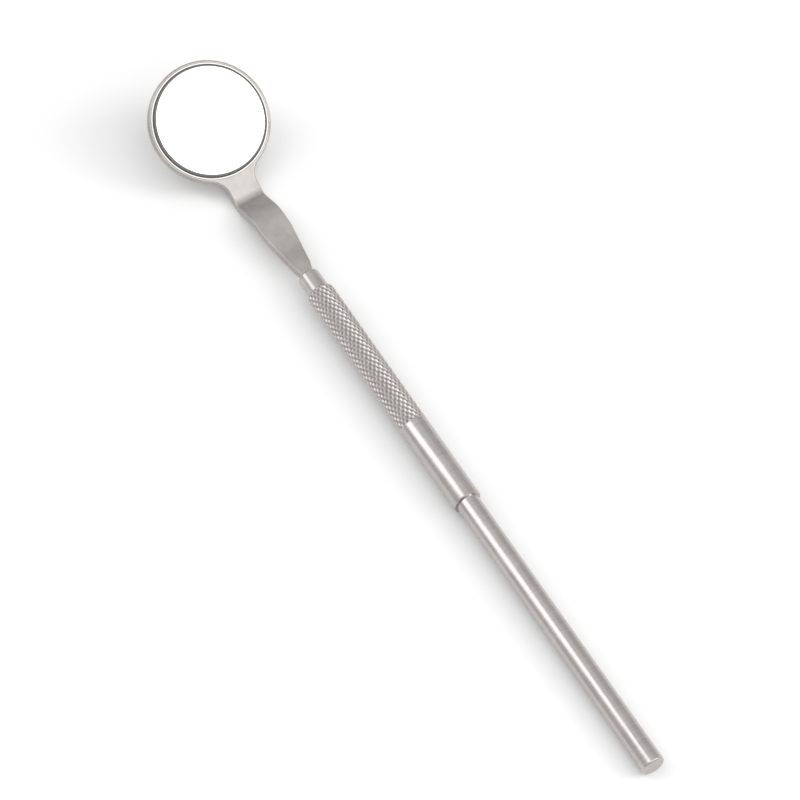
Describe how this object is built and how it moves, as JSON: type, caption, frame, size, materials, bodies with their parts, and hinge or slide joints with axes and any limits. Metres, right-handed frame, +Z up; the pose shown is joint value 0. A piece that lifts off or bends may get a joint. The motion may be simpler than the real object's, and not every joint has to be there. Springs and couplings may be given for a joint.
{
  "type": "mouth mirror",
  "caption": "Round dental mirror in a steel pan on a bent flat shank, screwed into a straight handle with a diamond-knurled grip sleeve.",
  "frame": {"origin": "middle of the length and width, at the height of the lowest point of the shank's bend", "axes": "+X along the handle's axis from the mirror end to the rear end, +Z up and away from the table, with the mirror face up"},
  "size_m": [0.1695, 0.024, 0.0164],
  "materials": {
    "rod_steel": "satin, turned and drawn lengthwise",
    "sleeve_steel": "satin with diamond knurling",
    "stem_steel": "turned",
    "head_steel": "fine bead-blasted satin",
    "mirror_face": "front-surface mirror",
    "cement": "set cement",
    "seal": "dark set sealing compound"
  },
  "bodies": {
    "handle": {"handle_rod": "rod_steel", "grip_sleeve": "sleeve_steel"},
    "stem": {"threaded_stem": "stem_steel"},
    "head": {"head_frame": "head_steel", "mirror_glass": "mirror_face", "glass_cement": "cement", "edge_seal": "seal"}
  },
  "joints": [
    {"name": "stem_travel", "type": "slide", "parent": "handle", "child": "stem", "axis": [-1, 0, 0], "range_m": [0, 0.00585]},
    {"name": "head_unscrew", "type": "hinge", "parent": "stem", "child": "head", "pos_m": [-0.0357, 0, 0.004], "axis": [-1, 0, 0], "range_deg": [0, 4680]}
  ],
  "couplings": [
    {"joint": "head_unscrew", "follows": "stem_travel", "rad_per_m": 13963}
  ]
}
